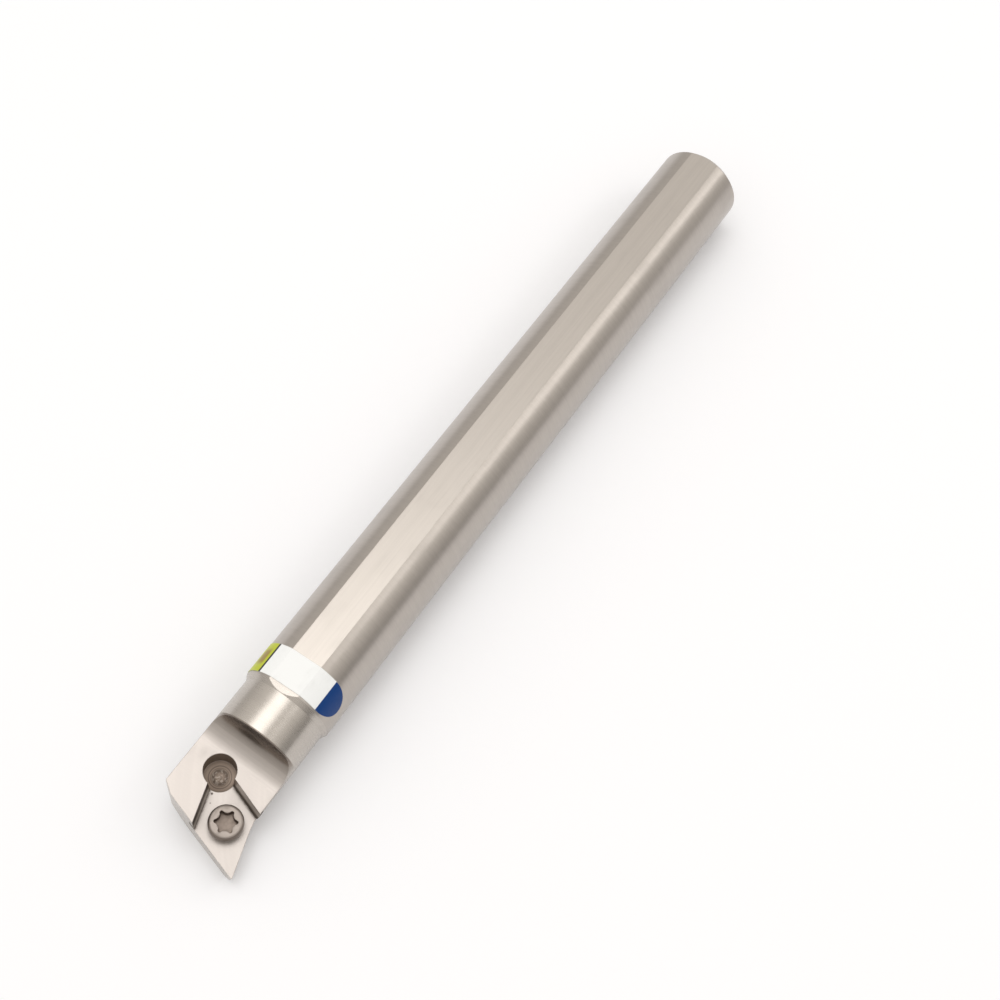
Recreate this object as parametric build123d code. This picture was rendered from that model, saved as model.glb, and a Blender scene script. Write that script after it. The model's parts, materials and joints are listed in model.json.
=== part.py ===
from build123d import *

import os
from math import cos, radians, sin, sqrt, tan

# Boring bar for internal turning, right hand, with a screw-down pocket for a 55 degree insert.
# Lengths are in millimetres and angles in degrees.
# +X runs along the shank to the head, +Y is the cutting side and +Z is up.
# The origin is the centre of the shank's rear face.

# ---- Insert that the pocket is made for ----
tool_length = 160.0            # rear face to the insert's nose, along X
nose_offset = 11.0             # shank axis to the insert's nose, along Y
radial_rake = 8.0              # slope of the pocket floor, down towards the nose
insert_angle = 55.0            # between the two cutting edges
insert_circle = 9.525          # circle that touches all four edges
insert_thickness = 3.97
insert_clearance = 7.0         # lean of the insert's flanks
nose_radius = 0.4
front_edge_lean = 17.5         # front cutting edge, off square to the axis

# ---- Shank and neck ----
shank_diameter = 16.0
flat_depth = 0.5               # shank's round to each flat
rear_chamfer = 1.0
neck_length = 27.25            # shoulder to the insert's nose, along X
neck_step = 0.55               # shank's skin to the neck's skin
shoulder_slope = 30.0          # cone between shank and neck

# ---- Head ----
bore_minimum = 20.0            # smallest bore that the head can enter
swing_clearance = 0.4          # head to the wall of that bore
swell_slope = 42.0             # how steeply the head swells out of the neck
swell_toe_radius = 4.0         # hollow curve where the swelling starts
swell_brow_radius = 3.0        # round where it reaches full size
swell_sunk = 0.1               # start of the swelling, under the neck's skin
side_setback = 0.46            # cutting-side flank behind the insert's lower edge
side_relief = 7.0              # lean of that flank
side_runout_radius = 10.0      # hollow curve where that flank runs into the neck
front_setback = 0.23           # front flank behind the insert's lower corner, along X
front_lean = 16.0              # front flank, off square to the axis
corner_start = 5.35            # axis to where the front flank turns back
corner_lean = 34.0             # the turned-back stretch, off square to the axis
tip_radius = 0.2               # round between the side flank and the front flank

# ---- Pocket and gullet ----
insert_proud = 0.67            # insert's top above the metal round the pocket
gullet_length = 19.3           # gullet's rear wall to the insert's nose, along X
gullet_radius = 4.5
relief_hole_diameter = 5.3
relief_hole_inset = 2.52       # pocket's rear corner to the hole's centre
relief_hole_extra = 1.0        # depth below the pocket floor
relief_hole_slope = 15.0       # slope of the hole's conical bottom

# ---- Clamp screw and its hole ----
thread_diameter = 4.0
thread_clearance = 0.05        # screw to hole, all round
hole_mouth_chamfer = 0.15
screw_head_diameter = 5.6
screw_cone_angle = 60.0        # whole angle under the head
screw_seat_gap = 0.03          # cone to the hole's mouth
screw_rim_height = 0.9         # from the cone to the head's top
screw_crown_radius = 0.55      # round between the rim and the head's top
screw_thread_length = 4.1      # below the pocket floor
screw_end_chamfer = 0.35
lobe_count = 6
lobe_diameter = 3.75           # recess, across the lobes
valley_diameter = 2.70         # recess, across the valleys between them
lobe_radius = 0.3
recess_depth = 1.45
recess_mouth_diameter = 2.95   # bevel on the teeth between the lobes
recess_mouth_slope = 30.0      # that bevel, off the head's top
recess_turn = 2.0              # turn of the recess about the screw's axis

# ---- Label ----
label_thickness = 0.08
label_gap = 0.3                # label to shoulder
label_width = 5.65             # along X
label_straight = 45.0          # from the top round to its end on the cutting side
label_far_straight = 72.0      # from the top round to its end on the other side
label_end_arc = 30.6           # further round to the tip of each rounded end

# ---- Worked out from the sizes above ----
margin = 5.0                   # how far a cutting shape reaches past the metal
shank_radius = shank_diameter / 2
neck_radius = shank_radius - neck_step
flat_height = shank_radius - flat_depth
shoulder_start = tool_length - neck_length
shoulder_end = shoulder_start + (shank_radius - neck_radius) / tan(radians(shoulder_slope))
gullet_wall = tool_length - gullet_length
swing_centre = nose_offset - bore_minimum / 2
swing_radius = bore_minimum / 2 - swing_clearance
thread_radius = thread_diameter / 2

# The seat plane holds the insert's top face. Seen in this plane, the first direction runs
# along the bar, the second towards the cutting side, and the height points out of the
# pocket. The insert's nose lies at (tool_length, 0).
seat = Plane(
    origin=(0, nose_offset, 0),
    x_dir=(1, 0, 0),
    z_dir=(0, sin(radians(radial_rake)), cos(radians(radial_rake))),
)
floor = seat.offset(-insert_thickness)
axis_across = -nose_offset * cos(radians(radial_rake))
axis_height = -nose_offset * sin(radians(radial_rake))


def heading(degrees):
    """Unit vector in the seat plane, turned from the bar's direction."""
    return Vector(cos(radians(degrees)), sin(radians(degrees)))


# Directions from the insert's sharp nose corner: along its edges, and midway between them.
front_edge = heading(270 - front_edge_lean)
middle = heading(270 - front_edge_lean - insert_angle / 2)
side_edge = heading(270 - front_edge_lean - insert_angle)
side_inward = heading(360 - front_edge_lean - insert_angle)
half_corner = sin(radians(insert_angle / 2))
nose_centre = Vector(tool_length - nose_radius, -nose_radius)
nose_corner = nose_centre - middle * (nose_radius / half_corner)
insert_centre = nose_corner + middle * (insert_circle / 2 / half_corner)
rear_corner = nose_corner + middle * (insert_circle / half_corner)
flank_inset = insert_thickness * tan(radians(insert_clearance))
lower_corner = nose_corner + middle * (flank_inset / half_corner)


def turned(points, radii):
    """Solid of revolution about Z. The points are (radius, height), with a round at each."""
    return revolve(Plane.XZ * make_face(FilletPolyline(*points, radius=radii, close=True)), Axis.Z)


def turned_blank():
    """Shank, shoulder and neck as they come off the lathe."""
    profile = Polyline(
        (0, 0),
        (0, shank_radius - rear_chamfer),
        (rear_chamfer, shank_radius),
        (shoulder_start, shank_radius),
        (shoulder_end, neck_radius),
        (tool_length, neck_radius),
        (tool_length, 0),
        close=True,
    )
    return revolve(make_face(profile), Axis.X)


def swing_envelope(toe):
    """Turned shape that keeps the head inside its smallest bore. It swells out at the toe."""
    start_radius = neck_radius - swing_centre - swell_sunk
    brow = toe + (swing_radius - start_radius) / tan(radians(swell_slope))
    profile = FilletPolyline(
        (toe - margin, swing_centre),
        (toe - margin, swing_centre + start_radius),
        (toe, swing_centre + start_radius),
        (brow, swing_centre + swing_radius),
        (tool_length + margin, swing_centre + swing_radius),
        (tool_length + margin, swing_centre),
        radius=[0, 0, swell_toe_radius, swell_brow_radius, 0, 0],
        close=True,
    )
    return revolve(make_face(profile), Axis((0, swing_centre, 0), (1, 0, 0)))


def swelling():
    """The part of the head that stands out of the neck and carries the insert's nose."""
    floor_drop = axis_height + insert_thickness
    neck_side = axis_across + sqrt(neck_radius**2 - floor_drop**2)
    flank_point = nose_corner + side_inward * (flank_inset + side_setback)
    meet = flank_point + side_edge * ((neck_side - flank_point.Y) / side_edge.Y)
    ahead = meet - side_edge * bore_minimum
    outline = FilletPolyline(
        (meet.X - margin, axis_across),
        (meet.X - margin, neck_side),
        (meet.X, neck_side),
        (ahead.X, ahead.Y),
        (ahead.X, axis_across),
        radius=[0, 0, side_runout_radius, 0, 0],
        close=True,
    )
    flanked = extrude(floor * make_face(outline), amount=-neck_radius, taper=side_relief)
    return flanked & swing_envelope(meet.X - swell_sunk)


def flats():
    """The two cuts that leave the shank's flats, one above and one below."""
    cut = Box(
        tool_length + 2 * margin,
        2 * bore_minimum,
        margin,
        align=(Align.MIN, Align.CENTER, Align.MIN),
    )
    above = Pos(-margin, 0, flat_height) * cut
    return above + mirror(above, Plane.XY)


def front_cut():
    """Everything ahead of the front flank and of its turned-back stretch."""
    bend_across = axis_across - corner_start
    crossing = lower_corner - Vector(front_setback, 0)
    bend_along = crossing.X - (crossing.Y - bend_across) * tan(radians(front_lean))
    top = Vector(crossing.X + (margin - crossing.Y) * tan(radians(front_lean)), margin)
    foot = Vector(bend_along - shank_diameter * tan(radians(corner_lean)), bend_across - shank_diameter)
    outline = Polyline(
        (foot.X, foot.Y),
        (bend_along, bend_across),
        (top.X, top.Y),
        (tool_length + margin, top.Y),
        (tool_length + margin, foot.Y),
        close=True,
    )
    return extrude(seat * make_face(outline), amount=bore_minimum, both=True)


def gullet():
    """Milled step ahead of the neck: a square rear wall, a hollow corner and the head's flat."""
    across = Plane(origin=seat.origin, x_dir=seat.x_dir, z_dir=-seat.y_dir)
    outline = FilletPolyline(
        (gullet_wall, shank_diameter),
        (gullet_wall, -insert_proud),
        (tool_length + margin, -insert_proud),
        (tool_length + margin, shank_diameter),
        radius=[0, gullet_radius, 0, 0],
        close=True,
    )
    return extrude(across * make_face(outline), amount=2 * bore_minimum, both=True)


def pocket():
    """Space that the insert fills. Its two walls lean as the insert's flanks do."""
    reach = 2 * bore_minimum
    outline = Polyline(
        rear_corner,
        rear_corner - front_edge * reach,
        rear_corner - (front_edge + side_edge) * reach,
        rear_corner - side_edge * reach,
        close=True,
    )
    return extrude(seat * make_face(outline), amount=-insert_thickness, taper=insert_clearance)


def relief_hole():
    """Drilled hole that takes away the pocket's rear corner."""
    centre = rear_corner - middle * relief_hole_inset
    radius = relief_hole_diameter / 2
    shape = turned(
        [
            (0, -relief_hole_extra - radius * tan(radians(relief_hole_slope))),
            (radius, -relief_hole_extra),
            (radius, insert_thickness + margin),
            (0, insert_thickness + margin),
        ],
        0,
    )
    return floor.location * Pos(centre.X, centre.Y) * shape


def screw_place():
    """Where the clamp screw's axis leaves the pocket floor."""
    return floor.location * Pos(insert_centre.X, insert_centre.Y)


def screw_hole():
    """Tapped hole for the clamp screw, through to the underside."""
    shape = turned(
        [
            (0, -2 * neck_radius),
            (thread_radius, -2 * neck_radius),
            (thread_radius, -hole_mouth_chamfer),
            (thread_radius + hole_mouth_chamfer, 0),
            (thread_radius + hole_mouth_chamfer, margin),
            (0, margin),
        ],
        0,
    )
    return screw_place() * shape


def boring_bar():
    """The bar, one piece of steel."""
    body = turned_blank() + swelling()
    body -= flats()
    body -= front_cut()
    body = fillet(body.edges().sort_by(Axis.Y)[-1], tip_radius)
    body -= gullet()
    body -= pocket()
    body -= relief_hole()
    body -= screw_hole()
    return body


def six_lobe(depth):
    """Drive recess: six lobes and six valleys, each an arc, sunk from the plane z = 0."""
    valley = valley_diameter / 2
    lobe_middle = lobe_diameter / 2 - lobe_radius
    step = 360 / lobe_count
    lean = cos(radians(step / 2))
    valley_radius = (lobe_radius**2 - lobe_middle**2 - valley**2 + 2 * lobe_middle * valley * lean) / (
        2 * (valley - lobe_middle * lean - lobe_radius)
    )
    valley_middle = valley + valley_radius
    share = lobe_radius / (lobe_radius + valley_radius)
    outline = []
    for index in range(lobe_count):
        turn = index * step + recess_turn
        lobe_point = heading(turn) * lobe_middle
        before = lobe_point + (heading(turn - step / 2) * valley_middle - lobe_point) * share
        after = lobe_point + (heading(turn + step / 2) * valley_middle - lobe_point) * share
        following = heading(turn + step) * lobe_middle
        entry = following + (heading(turn + step / 2) * valley_middle - following) * share
        outline.append(ThreePointArc(before, heading(turn) * (lobe_diameter / 2), after))
        outline.append(ThreePointArc(after, heading(turn + step / 2) * valley, entry))
    return extrude(make_face(outline), amount=-depth)


def clamp_screw():
    """Countersunk screw, seated with its cone on the mouth of its hole."""
    slope = tan(radians(screw_cone_angle / 2))
    head_radius = screw_head_diameter / 2
    shaft_radius = thread_radius - thread_clearance
    cone_start = -hole_mouth_chamfer - (thread_clearance - screw_seat_gap) / slope
    cone_end = cone_start + (head_radius - shaft_radius) / slope
    top = cone_end + screw_rim_height
    body = turned(
        [
            (0, -screw_thread_length),
            (shaft_radius - screw_end_chamfer, -screw_thread_length),
            (shaft_radius, -screw_thread_length + screw_end_chamfer),
            (shaft_radius, cone_start),
            (head_radius, cone_end),
            (head_radius, top),
            (0, top),
        ],
        [0, 0, 0, 0, 0, screw_crown_radius, 0],
    )
    mouth = recess_mouth_diameter / 2
    bevel = turned([(0, -mouth * tan(radians(recess_mouth_slope))), (mouth, 0), (0, 0)], 0)
    body -= Pos(0, 0, top) * six_lobe(recess_depth)
    body -= Pos(0, 0, top) * bevel
    return screw_place() * body


def shank_skin(thickness):
    """A length of shank with its two flats, thickened all round."""
    bar = Rot(0, 90, 0) * Cylinder(shank_radius + thickness, label_width)
    return bar & Box(label_width, 2 * shank_diameter, 2 * (flat_height + thickness))


def label():
    """Thin film over the top flat, with a rounded end wrapped round each side."""
    middle_along = shoulder_start - label_gap - label_width / 2
    near_corner = heading(90 - label_straight) * (2 * shank_diameter)
    far_corner = heading(90 + label_far_straight) * (2 * shank_diameter)
    band = make_face(Polyline((0, 0), near_corner, far_corner, close=True))
    band = extrude(Plane.YZ * band, amount=label_width, both=True)
    reach = shank_radius * sin(radians(label_end_arc))
    rounded = extrude(make_face(Ellipse(label_width / 2, reach).edges()), amount=shank_diameter)
    shape = band + Rot(-label_straight, 0, 0) * rounded + Rot(label_far_straight, 0, 0) * rounded
    film = shank_skin(label_thickness) - shank_skin(0)
    return Pos(middle_along, 0, 0) * (film & shape)


os.makedirs("parts", exist_ok=True)
export_step(boring_bar(), "parts/boring_bar.step")
export_step(clamp_screw(), "parts/clamp_screw.step")
export_step(label(), "parts/label.step")
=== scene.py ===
import json
import math

import bmesh
import bpy
from bpy.props import FloatProperty, FloatVectorProperty, PointerProperty
from mathutils import Matrix, Quaternion, Vector


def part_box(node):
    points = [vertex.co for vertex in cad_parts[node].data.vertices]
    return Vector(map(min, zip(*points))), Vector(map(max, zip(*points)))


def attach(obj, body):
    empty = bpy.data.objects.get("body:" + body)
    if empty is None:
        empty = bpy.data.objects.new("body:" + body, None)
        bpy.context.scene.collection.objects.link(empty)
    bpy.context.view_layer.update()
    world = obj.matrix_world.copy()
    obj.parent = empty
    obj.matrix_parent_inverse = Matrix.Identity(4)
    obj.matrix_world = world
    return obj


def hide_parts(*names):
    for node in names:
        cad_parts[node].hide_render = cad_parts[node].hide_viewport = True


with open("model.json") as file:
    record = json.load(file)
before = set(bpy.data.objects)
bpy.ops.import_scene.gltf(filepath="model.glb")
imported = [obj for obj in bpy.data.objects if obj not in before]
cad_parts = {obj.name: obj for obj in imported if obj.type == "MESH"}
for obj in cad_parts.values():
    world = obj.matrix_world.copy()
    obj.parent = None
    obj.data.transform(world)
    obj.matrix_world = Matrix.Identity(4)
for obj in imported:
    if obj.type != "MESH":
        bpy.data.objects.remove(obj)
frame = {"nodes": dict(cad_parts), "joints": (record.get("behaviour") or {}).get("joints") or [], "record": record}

bl_info = {
    "name": "Boring Bar",
    "version": (1, 0, 0),
    "blender": (4, 5, 0),
    "location": "3D View > Sidebar > Boring Bar",
    "description": "Dresses a steel boring bar, its clamp screw and its label",
    "category": "Object",
}

MM = 0.001
ORIGIN = (0.0, 0.0, 0.0)
X_AXIS = Vector((1, 0, 0))

# Lengths in metres, from the frame.
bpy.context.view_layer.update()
FLOOR_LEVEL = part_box("boring_bar")[0].z
LABEL_LOW, LABEL_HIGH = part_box("label")
MOUNTS = {mount["name"]: mount for mount in frame["record"]["mounts"]}
SEAT_NORMAL = Vector(frame["joints"][0]["axis"]).normalized()
SEAT_POINT = Vector(MOUNTS["insert_seat"]["pos_m"])
SEAT_TURN = Matrix((X_AXIS, SEAT_NORMAL.cross(X_AXIS), SEAT_NORMAL)).transposed().to_4x4()
SCREW_AXIS = SEAT_POINT + Vector((-0.0036806, -0.0030502, 0.0004291))  # where it meets the pocket floor
RELIEF_HOLE = Vector((0.147408, -0.001469, 0.001752))  # a point on the hole's axis

# Places along the bar, in millimetres from its rear face.
REAR_FACE_EDGE = 0.03
SHANK_END = 132.75  # where the ground round shank meets the neck
HEAD_START = 140.5  # rear end of the gullet
GULLET_END = 145.5

# Heights over the pocket floor, in millimetres.
PROUD = 3.3  # the head's top face
RELIEF_BOTTOM = -2.0  # just under the bottom of the relief hole
TAP_EDGE = -0.14  # just inside the tapped hole
SCREW_TOP = 2.1876
SCREW_LOW_END = -4.1

# Sizes and points on the bar, in millimetres.
FLAT_HEIGHT = 7.5  # of the milled flats over the axis
RELIEF_RADIUS = 2.65
TAPPED_RADIUS = 2.0
SCREW_SEAT_RADIUS = 3.0
MILLING_CENTRE = (118.0, 46.0, 0.0)  # middle of the arcs that the cutter left on the head
POCKET_CORNER = (145.626, -3.234, 2.0)  # where the upper edges of the pocket's walls meet
WALL_TURNS = (-17.5, 107.5)  # degrees in the pocket floor from +X round to the rear and the side wall's normals
WALL_NORMALS = tuple(
    tuple(SEAT_TURN.to_3x3() @ Vector((math.cos(math.radians(turn)), math.sin(math.radians(turn)), 0.0)))
    for turn in WALL_TURNS
)
PITS = (  # middle and radius of small marks, two on the pocket floor and one on the head's top
    ((150.4, -1.24, -2.29), 0.24),
    ((151.7, -0.54, -2.39), 0.12),
    ((155.6, -2.9, 1.28), 0.3),
)


# ---------------------------------------------------------------- settings


def colour_property(name, description, default):
    """A colour that the user can change."""
    return FloatVectorProperty(
        name=name, description=description, subtype="COLOR", size=3, min=0.0, max=1.0, default=default
    )


def share_property(name, description, default):
    """A number from 0 to 1."""
    return FloatProperty(name=name, description=description, subtype="FACTOR", min=0.0, max=1.0, default=default)


def length_property(name, description, default):
    """A length in metres."""
    return FloatProperty(name=name, description=description, unit="LENGTH", default=default)


def point_property(name, description, default):
    """A point in metres."""
    return FloatVectorProperty(
        name=name, description=description, subtype="XYZ", unit="LENGTH", size=3, default=default
    )


def angle_property(name, description, degrees):
    """An angle."""
    return FloatProperty(name=name, description=description, subtype="ANGLE", default=math.radians(degrees))


class BoringBarSteelSettings(bpy.types.PropertyGroup):
    """Colours and finish of the bar."""

    shank_colour: colour_property("Shank", "Steel of the ground round shank", (0.475, 0.436, 0.40))
    flat_colour: colour_property("Flats", "Steel of the two milled flats", (0.515, 0.476, 0.438))
    neck_colour: colour_property("Neck", "Steel of the turned neck and of the head's sides", (0.51, 0.473, 0.433))
    head_colour: colour_property("Head", "Steel of the head's milled top faces", (0.525, 0.485, 0.457))
    # Painted shade and painted dark reflection in the gullet's hollow.
    gullet_shade_colour: colour_property("Gullet", "Painted shade in the hollow of the gullet", (0.235, 0.198, 0.17))
    # Painted shade in the holes.
    hole_shade_colour: colour_property("Holes", "Painted shade inside the relief hole and the tapped hole", (0.235, 0.188, 0.155))
    # Painted highlight in the relief hole.
    hole_highlight_colour: colour_property("Hole highlight", "Painted highlight in the middle of the relief hole's bottom", (0.62, 0.56, 0.50))
    hole_wall_colour: colour_property("Hole wall", "Steel on the wall of the relief hole", (0.55, 0.48, 0.42))
    # Painted glints in the relief hole.
    glint_colour: colour_property("Glints", "Painted glints at the bottom of the relief hole", (0.70, 0.63, 0.56))
    worn_colour: colour_property("Worn edges", "Steel where handling has polished an edge", (0.72, 0.68, 0.64))
    # Painted shade in the corners, the gullet's hollow and along the pocket walls; the small pits take it too.
    shade_colour: colour_property("Painted shade", "Painted shade in the corners, the gullet's hollow and along the pocket walls; also the pits", (0.085, 0.062, 0.048))
    shank_roughness: share_property("Shank roughness", "Roughness of the ground shank", 0.30)
    neck_roughness: share_property("Neck roughness", "Roughness of the turned neck", 0.27)
    head_roughness: share_property("Head roughness", "Roughness of the milled head and of the relief hole", 0.42)
    # Strength of that painted shade.
    gullet_shade_cover: share_property("Gullet shade", "How strongly the painted shade darkens the gullet's hollow", 0.85)
    edge_polish: share_property("Edge polish", "How much brighter the worn edges are", 0.35)
    # Strength of the painted shade in the corners.
    corner_shade_cover: share_property("Corner shade", "How strongly the painted shade darkens the corners", 0.8)
    grinding_pitch: length_property("Grinding pitch", "Spacing of the grinding lines", 0.00022)
    turning_pitch: length_property("Turning pitch", "Spacing of the rings on the neck and the rear face", 0.00030)
    milling_pitch: length_property("Milling pitch", "Spacing of the milling lines on the head", 0.00042)
    drilling_pitch: length_property("Drilling pitch", "Spacing of the drill's rings in the relief hole", 0.00014)
    mark_depth: length_property("Mark depth", "Depth of the tool marks", 0.0000008)
    wear_width: length_property("Edge wear", "Width of the bright worn edges", 0.00016)


class BoringBarScrewSettings(bpy.types.PropertyGroup):
    """Sizes and colours of the clamp screw."""

    top_colour: colour_property("Head", "Steel of the screw", (0.33, 0.29, 0.262))
    # Painted shade and painted reflection round the screw head's rim.
    rim_shade_colour: colour_property("Rim", "Painted shade round the head, towards the bar's tip", (0.225, 0.188, 0.163))
    rim_reflection_colour: colour_property("Rim reflection", "Painted reflection of the pocket floor round the head on its other side", (0.50, 0.45, 0.41))
    # Painted shade in the recess.
    recess_shade_colour: colour_property("Recess", "Painted shade at the bottom of the recess", (0.23, 0.19, 0.163))
    worn_colour: colour_property("Worn edges", "Steel where the key has polished an edge", (0.62, 0.56, 0.51))
    # Painted shade in the recess, the corners and the thread.
    shade_colour: colour_property("Painted shade", "Painted shade in the recess, the corners and the thread", (0.07, 0.05, 0.038))
    roughness: share_property("Roughness", "Roughness of the clamp screw", 0.42)
    edge_polish: share_property("Edge polish", "How much brighter the worn edges are", 0.35)
    mark_depth: length_property("Mark depth", "Depth of the tool marks", 0.0000025)
    head_diameter: length_property("Head diameter", "Diameter of the countersunk head", 0.0056)
    shaft_diameter: length_property("Shaft diameter", "Outside diameter of the thread", 0.0039)
    thread_depth: length_property("Thread depth", "Depth of the thread", 0.00040)
    thread_pitch: length_property("Thread pitch", "Lift of the thread in one turn", 0.0007)
    lobe_diameter: length_property("Lobes", "Recess, across the lobes", 0.00375)
    valley_diameter: length_property("Valleys", "Recess, across the valleys", 0.0027)
    lobe_radius: length_property("Lobe radius", "Radius of the tip of each lobe", 0.0003)
    mouth_diameter: length_property("Mouth diameter", "Bevel on the teeth between the lobes", 0.00295)
    recess_depth: length_property("Recess depth", "Depth of the recess", 0.00145)
    recess_turn: angle_property("Recess turn", "Turn of the recess about the screw", 2)


class BoringBarLabelSettings(bpy.types.PropertyGroup):
    """Colours of the printed label."""

    field_colour: colour_property("Field", "Colour of the label's middle", (0.90, 0.915, 0.915))
    cutting_side_colour: colour_property("Cutting side end", "Colour of the end on that side", (0.002, 0.042, 0.19))
    back_side_colour: colour_property("Back side end", "Colour of the end on the other side", (0.50, 0.56, 0.012))
    band_colour: colour_property("Band", "Colour of the short band in that end", (0.25, 0.10, 0.02))
    line_colour: colour_property("Line", "Colour of the line beside that end", (0.012, 0.012, 0.014))
    edge_colour: colour_property("Edges", "Dust along the label's long edges", (0.50, 0.49, 0.46))
    edge_dust: share_property("Edge dust", "How much of the edges the dust covers", 0.35)
    cutting_side_start: angle_property("Cutting side start", "From the top round to that end", 45)
    back_side_start: angle_property("Back side start", "From the top round to the line on the other side", 38)
    film_ripple: length_property("Ripple", "Depth of the film's soft waves", 0.00004)


class BoringBarStageSettings(bpy.types.PropertyGroup):
    """Camera, lamps and floor."""

    camera_place: point_property("Camera", "Where the camera stands", (0.19218, 0.06512, 0.22607))
    camera_target: point_property("Target", "Point that the camera looks at", (0.08222, 0.00718, 0.0))
    camera_roll: angle_property("Roll", "Turn of the camera about its line of sight", 6.62)
    camera_lens: FloatProperty(name="Lens", description="Focal length in millimetres", default=53.91)
    floor_colour: colour_property("Floor", "Colour of the floor", (0.895, 0.905, 0.935))
    floor_glow: FloatProperty(
        name="Floor glow", description="Light that the camera and the metal see on the floor", default=0.06
    )
    ceiling_colour: colour_property("Ceiling", "Even light from above", (0.93, 0.895, 0.85))
    horizon_colour: colour_property("Horizon", "Even light from the sides", (0.61, 0.588, 0.56))
    dark_side_colour: colour_property("Dark side", "Even light in front, on the cutting side", (0.27, 0.258, 0.245))
    lamp_colour: colour_property("Lamps", "Colour of the two soft lamps", (1.0, 0.998, 0.99))
    key_radiance: FloatProperty(name="Key lamp", description="Radiance of the lamp overhead", default=1.6)
    side_radiance: FloatProperty(name="Side lamp", description="Radiance of the long lamp behind", default=1.5)


# ---------------------------------------------------------------- shader building


class Shading:
    """Short ways to add and join shader nodes in one node tree."""

    def __init__(self, tree):
        self.tree = tree

    def node(self, kind, **settings):
        """Adds a node and sets its options."""
        made = self.tree.nodes.new(kind)
        for name, value in settings.items():
            setattr(made, name, value)
        return made

    def feed(self, socket, value):
        """Gives an input a value or the output of another node."""
        if isinstance(value, bpy.types.NodeSocket):
            self.tree.links.new(value, socket)
        else:
            socket.default_value = value

    def math(self, operation, *values):
        """Result of an operation on numbers."""
        made = self.node("ShaderNodeMath", operation=operation)
        for socket, value in zip(made.inputs, values):
            self.feed(socket, value)
        return made.outputs[0]

    def vector(self, operation, *values, output=0):
        """Result of an operation on directions, places or colours."""
        made = self.node("ShaderNodeVectorMath", operation=operation)
        for socket, value in zip(made.inputs, values):
            self.feed(socket, value)
        return made.outputs[output]

    def separate(self, value):
        """The three parts of a direction."""
        made = self.node("ShaderNodeSeparateXYZ")
        self.feed(made.inputs[0], value)
        return made.outputs

    def blend(self, share, first, second):
        """Colour between two colours."""
        made = self.node("ShaderNodeMix", data_type="RGBA")
        self.feed(made.inputs["Factor"], share)
        self.feed(made.inputs[6], first)
        self.feed(made.inputs[7], second)
        return made.outputs[2]

    def stained(self, colour, mask, cover, stain):
        """Colour that is partly covered by a stain where the mask lies."""
        return self.blend(self.math("MULTIPLY", mask, cover), colour, rgba(stain))

    def toned(self, colour, tone):
        """Colour made darker or lighter by a factor."""
        grey = self.node("ShaderNodeCombineXYZ")
        for socket in grey.inputs:
            self.feed(socket, tone)
        return self.vector("MULTIPLY", colour, grey.outputs[0])

    def between(self, share, first, second):
        """Number between two numbers."""
        made = self.node("ShaderNodeMix", data_type="FLOAT")
        self.feed(made.inputs[0], share)
        self.feed(made.inputs[2], first)
        self.feed(made.inputs[3], second)
        return made.outputs[0]

    def ramp(self, value, low, high, start=0.0, end=1.0):
        """Smooth step from start to end while the value goes from low to high."""
        made = self.node("ShaderNodeMapRange", interpolation_type="SMOOTHSTEP")
        for name, item in (("Value", value), ("From Min", low), ("From Max", high), ("To Min", start), ("To Max", end)):
            self.feed(made.inputs[name], item)
        return made.outputs[0]

    def below(self, value, low, high):
        """1 where the value lies under low, fading to 0 at high."""
        return self.ramp(value, low, high, 1.0, 0.0)

    def within(self, value, low, high, soft):
        """1 where the value lies between two limits, with soft ends."""
        return self.both(self.ramp(value, low - soft, low + soft), self.below(value, high - soft, high + soft))

    def both(self, *masks):
        """Product of masks."""
        result = masks[0]
        for mask in masks[1:]:
            result = self.math("MULTIPLY", result, mask)
        return result

    def either(self, *masks):
        """Largest of masks."""
        result = masks[0]
        for mask in masks[1:]:
            result = self.math("MAXIMUM", result, mask)
        return result

    def noise(self, place, scale, detail=2.0, roughness=0.5):
        """Cloudy pattern from 0 to 1."""
        made = self.node("ShaderNodeTexNoise")
        self.feed(made.inputs["Vector"], place)
        made.inputs["Scale"].default_value = scale
        made.inputs["Detail"].default_value = detail
        made.inputs["Roughness"].default_value = roughness
        return made.outputs["Fac"]

    def group(self, effect, **values):
        """Adds a shared effect with values of its own; returns what it puts out."""
        made = self.node("ShaderNodeGroup", node_tree=bpy.data.node_groups.get(effect) or EFFECTS[effect]())
        for name, value in values.items():
            self.feed(made.inputs[name], value)
        return made.outputs

    def stretched(self, place, x, y, z):
        """Place with each direction scaled by its own factor."""
        return self.vector("MULTIPLY", place, (x, y, z))

    def place(self):
        """Place on the piece in millimetres."""
        return self.stretched(self.node("ShaderNodeTexCoord").outputs["Object"], 1 / MM, 1 / MM, 1 / MM)

    def facing(self):
        """Direction that the surface faces."""
        return self.node("ShaderNodeTexCoord").outputs["Normal"]

    def along(self, offset, direction):
        """How far an offset reaches in a direction."""
        return self.vector("DOT_PRODUCT", offset, tuple(direction), output="Value")

    def lift(self, place):
        """Height in millimetres over the pocket floor."""
        return self.along(self.vector("SUBTRACT", place, tuple(SEAT_POINT / MM)), SEAT_NORMAL)

    def from_axis(self, place, point):
        """Distance in millimetres from the line through a point, square to the insert's seat."""
        offset = self.vector("SUBTRACT", place, tuple(point / MM))
        across = self.vector("CROSS_PRODUCT", offset, tuple(SEAT_NORMAL))
        return self.vector("LENGTH", across, output="Value")

    def spot(self, place, centre, radius):
        """Soft round mark about a centre given in millimetres."""
        distance = self.vector("DISTANCE", place, centre, output="Value")
        return self.below(distance, radius * 0.5, radius)

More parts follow.
